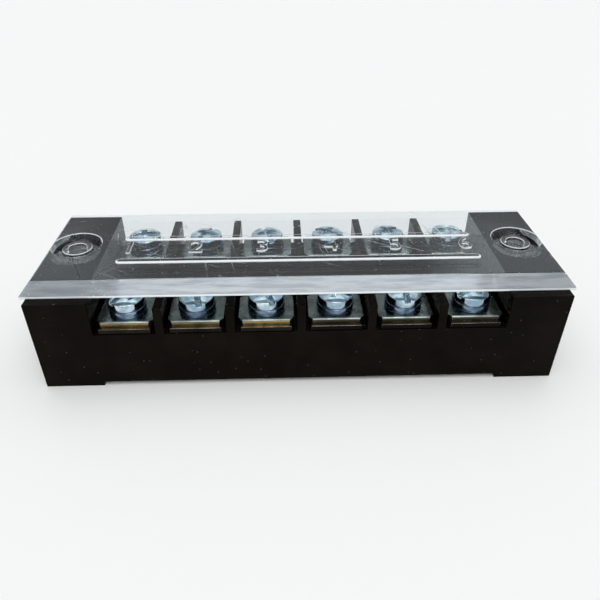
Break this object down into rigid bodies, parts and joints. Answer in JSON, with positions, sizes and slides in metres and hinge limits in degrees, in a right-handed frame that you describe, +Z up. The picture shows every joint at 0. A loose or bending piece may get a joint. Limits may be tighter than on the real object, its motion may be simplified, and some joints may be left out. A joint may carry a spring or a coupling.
{
  "type": "barrier terminal block",
  "caption": "Two-row barrier terminal block: black moulded base with screw clamps in open bays, under a clear bevelled lift-off cover.",
  "frame": {"origin": "middle of the underside, half way between the two mounting holes", "axes": "+X along the row of poles, +Y from the front row to the rear row, +Z up through the cover"},
  "size_m": [0.0972, 0.031, 0.0213],
  "materials": {
    "base_plastic": "black moulded thermoset, satin",
    "clear_cover": "clear polycarbonate, lightly scratched",
    "strip_metal": "brass strip, nickel plated",
    "plate_zinc": "steel, bright zinc plated",
    "washer_zinc": "spring steel, zinc plated",
    "screw_zinc": "steel, bright zinc plated"
  },
  "bodies": {
    "base": {"base": "base_plastic", "strip_1": "strip_metal", "strip_2": "strip_metal", "strip_3": "strip_metal", "strip_4": "strip_metal", "strip_5": "strip_metal", "strip_6": "strip_metal"},
    "cover": {"cover": "clear_cover"},
    "clamp_front_1": {"clamp_plate_front_1": "plate_zinc", "spring_washer_front_1": "washer_zinc"},
    "screw_front_1": {"screw_front_1": "screw_zinc"},
    "clamp_front_2": {"clamp_plate_front_2": "plate_zinc", "spring_washer_front_2": "washer_zinc"},
    "screw_front_2": {"screw_front_2": "screw_zinc"},
    "clamp_front_3": {"clamp_plate_front_3": "plate_zinc", "spring_washer_front_3": "washer_zinc"},
    "screw_front_3": {"screw_front_3": "screw_zinc"},
    "clamp_front_4": {"clamp_plate_front_4": "plate_zinc", "spring_washer_front_4": "washer_zinc"},
    "screw_front_4": {"screw_front_4": "screw_zinc"},
    "clamp_front_5": {"clamp_plate_front_5": "plate_zinc", "spring_washer_front_5": "washer_zinc"},
    "screw_front_5": {"screw_front_5": "screw_zinc"},
    "clamp_front_6": {"clamp_plate_front_6": "plate_zinc", "spring_washer_front_6": "washer_zinc"},
    "screw_front_6": {"screw_front_6": "screw_zinc"},
    "clamp_rear_1": {"clamp_plate_rear_1": "plate_zinc", "spring_washer_rear_1": "washer_zinc"},
    "screw_rear_1": {"screw_rear_1": "screw_zinc"},
    "clamp_rear_2": {"clamp_plate_rear_2": "plate_zinc", "spring_washer_rear_2": "washer_zinc"},
    "screw_rear_2": {"screw_rear_2": "screw_zinc"},
    "clamp_rear_3": {"clamp_plate_rear_3": "plate_zinc", "spring_washer_rear_3": "washer_zinc"},
    "screw_rear_3": {"screw_rear_3": "screw_zinc"},
    "clamp_rear_4": {"clamp_plate_rear_4": "plate_zinc", "spring_washer_rear_4": "washer_zinc"},
    "screw_rear_4": {"screw_rear_4": "screw_zinc"},
    "clamp_rear_5": {"clamp_plate_rear_5": "plate_zinc", "spring_washer_rear_5": "washer_zinc"},
    "screw_rear_5": {"screw_rear_5": "screw_zinc"},
    "clamp_rear_6": {"clamp_plate_rear_6": "plate_zinc", "spring_washer_rear_6": "washer_zinc"},
    "screw_rear_6": {"screw_rear_6": "screw_zinc"}
  },
  "joints": [
    {"name": "cover_lift", "type": "slide", "parent": "base", "child": "cover", "axis": [0, 0, 1], "range_m": [0, 0.02]},
    {"name": "rise_front_1", "type": "slide", "parent": "base", "child": "clamp_front_1", "axis": [0, 0, 1], "range_m": [0, 0.0007]},
    {"name": "turn_front_1", "type": "hinge", "parent": "clamp_front_1", "child": "screw_front_1", "pos_m": [-0.03125, -0.0099, 0.0151], "axis": [0, 0, 1], "range_deg": [0, 360]},
    {"name": "rise_front_2", "type": "slide", "parent": "base", "child": "clamp_front_2", "axis": [0, 0, 1], "range_m": [0, 0.0007]},
    {"name": "turn_front_2", "type": "hinge", "parent": "clamp_front_2", "child": "screw_front_2", "pos_m": [-0.01875, -0.0099, 0.0151], "axis": [0, 0, 1], "range_deg": [0, 360]},
    {"name": "rise_front_3", "type": "slide", "parent": "base", "child": "clamp_front_3", "axis": [0, 0, 1], "range_m": [0, 0.0007]},
    {"name": "turn_front_3", "type": "hinge", "parent": "clamp_front_3", "child": "screw_front_3", "pos_m": [-0.00625, -0.0099, 0.0151], "axis": [0, 0, 1], "range_deg": [0, 360]},
    {"name": "rise_front_4", "type": "slide", "parent": "base", "child": "clamp_front_4", "axis": [0, 0, 1], "range_m": [0, 0.0007]},
    {"name": "turn_front_4", "type": "hinge", "parent": "clamp_front_4", "child": "screw_front_4", "pos_m": [0.00625, -0.0099, 0.0151], "axis": [0, 0, 1], "range_deg": [0, 360]},
    {"name": "rise_front_5", "type": "slide", "parent": "base", "child": "clamp_front_5", "axis": [0, 0, 1], "range_m": [0, 0.0007]},
    {"name": "turn_front_5", "type": "hinge", "parent": "clamp_front_5", "child": "screw_front_5", "pos_m": [0.01875, -0.0099, 0.0151], "axis": [0, 0, 1], "range_deg": [0, 360]},
    {"name": "rise_front_6", "type": "slide", "parent": "base", "child": "clamp_front_6", "axis": [0, 0, 1], "range_m": [0, 0.0007]},
    {"name": "turn_front_6", "type": "hinge", "parent": "clamp_front_6", "child": "screw_front_6", "pos_m": [0.03125, -0.0099, 0.0151], "axis": [0, 0, 1], "range_deg": [0, 360]},
    {"name": "rise_rear_1", "type": "slide", "parent": "base", "child": "clamp_rear_1", "axis": [0, 0, 1], "range_m": [0, 0.0007]},
    {"name": "turn_rear_1", "type": "hinge", "parent": "clamp_rear_1", "child": "screw_rear_1", "pos_m": [-0.03125, 0.0099, 0.0151], "axis": [0, 0, 1], "range_deg": [0, 360]},
    {"name": "rise_rear_2", "type": "slide", "parent": "base", "child": "clamp_rear_2", "axis": [0, 0, 1], "range_m": [0, 0.0007]},
    {"name": "turn_rear_2", "type": "hinge", "parent": "clamp_rear_2", "child": "screw_rear_2", "pos_m": [-0.01875, 0.0099, 0.0151], "axis": [0, 0, 1], "range_deg": [0, 360]},
    {"name": "rise_rear_3", "type": "slide", "parent": "base", "child": "clamp_rear_3", "axis": [0, 0, 1], "range_m": [0, 0.0007]},
    {"name": "turn_rear_3", "type": "hinge", "parent": "clamp_rear_3", "child": "screw_rear_3", "pos_m": [-0.00625, 0.0099, 0.0151], "axis": [0, 0, 1], "range_deg": [0, 360]},
    {"name": "rise_rear_4", "type": "slide", "parent": "base", "child": "clamp_rear_4", "axis": [0, 0, 1], "range_m": [0, 0.0007]},
    {"name": "turn_rear_4", "type": "hinge", "parent": "clamp_rear_4", "child": "screw_rear_4", "pos_m": [0.00625, 0.0099, 0.0151], "axis": [0, 0, 1], "range_deg": [0, 360]},
    {"name": "rise_rear_5", "type": "slide", "parent": "base", "child": "clamp_rear_5", "axis": [0, 0, 1], "range_m": [0, 0.0007]},
    {"name": "turn_rear_5", "type": "hinge", "parent": "clamp_rear_5", "child": "screw_rear_5", "pos_m": [0.01875, 0.0099, 0.0151], "axis": [0, 0, 1], "range_deg": [0, 360]},
    {"name": "rise_rear_6", "type": "slide", "parent": "base", "child": "clamp_rear_6", "axis": [0, 0, 1], "range_m": [0, 0.0007]},
    {"name": "turn_rear_6", "type": "hinge", "parent": "clamp_rear_6", "child": "screw_rear_6", "pos_m": [0.03125, 0.0099, 0.0151], "axis": [0, 0, 1], "range_deg": [0, 360]}
  ],
  "couplings": [
    {"joint": "turn_front_1", "follows": "rise_front_1", "rad_per_m": 8976},
    {"joint": "turn_front_2", "follows": "rise_front_2", "rad_per_m": 8976},
    {"joint": "turn_front_3", "follows": "rise_front_3", "rad_per_m": 8976},
    {"joint": "turn_front_4", "follows": "rise_front_4", "rad_per_m": 8976},
    {"joint": "turn_front_5", "follows": "rise_front_5", "rad_per_m": 8976},
    {"joint": "turn_front_6", "follows": "rise_front_6", "rad_per_m": 8976},
    {"joint": "turn_rear_1", "follows": "rise_rear_1", "rad_per_m": 8976},
    {"joint": "turn_rear_2", "follows": "rise_rear_2", "rad_per_m": 8976},
    {"joint": "turn_rear_3", "follows": "rise_rear_3", "rad_per_m": 8976},
    {"joint": "turn_rear_4", "follows": "rise_rear_4", "rad_per_m": 8976},
    {"joint": "turn_rear_5", "follows": "rise_rear_5", "rad_per_m": 8976},
    {"joint": "turn_rear_6", "follows": "rise_rear_6", "rad_per_m": 8976}
  ]
}
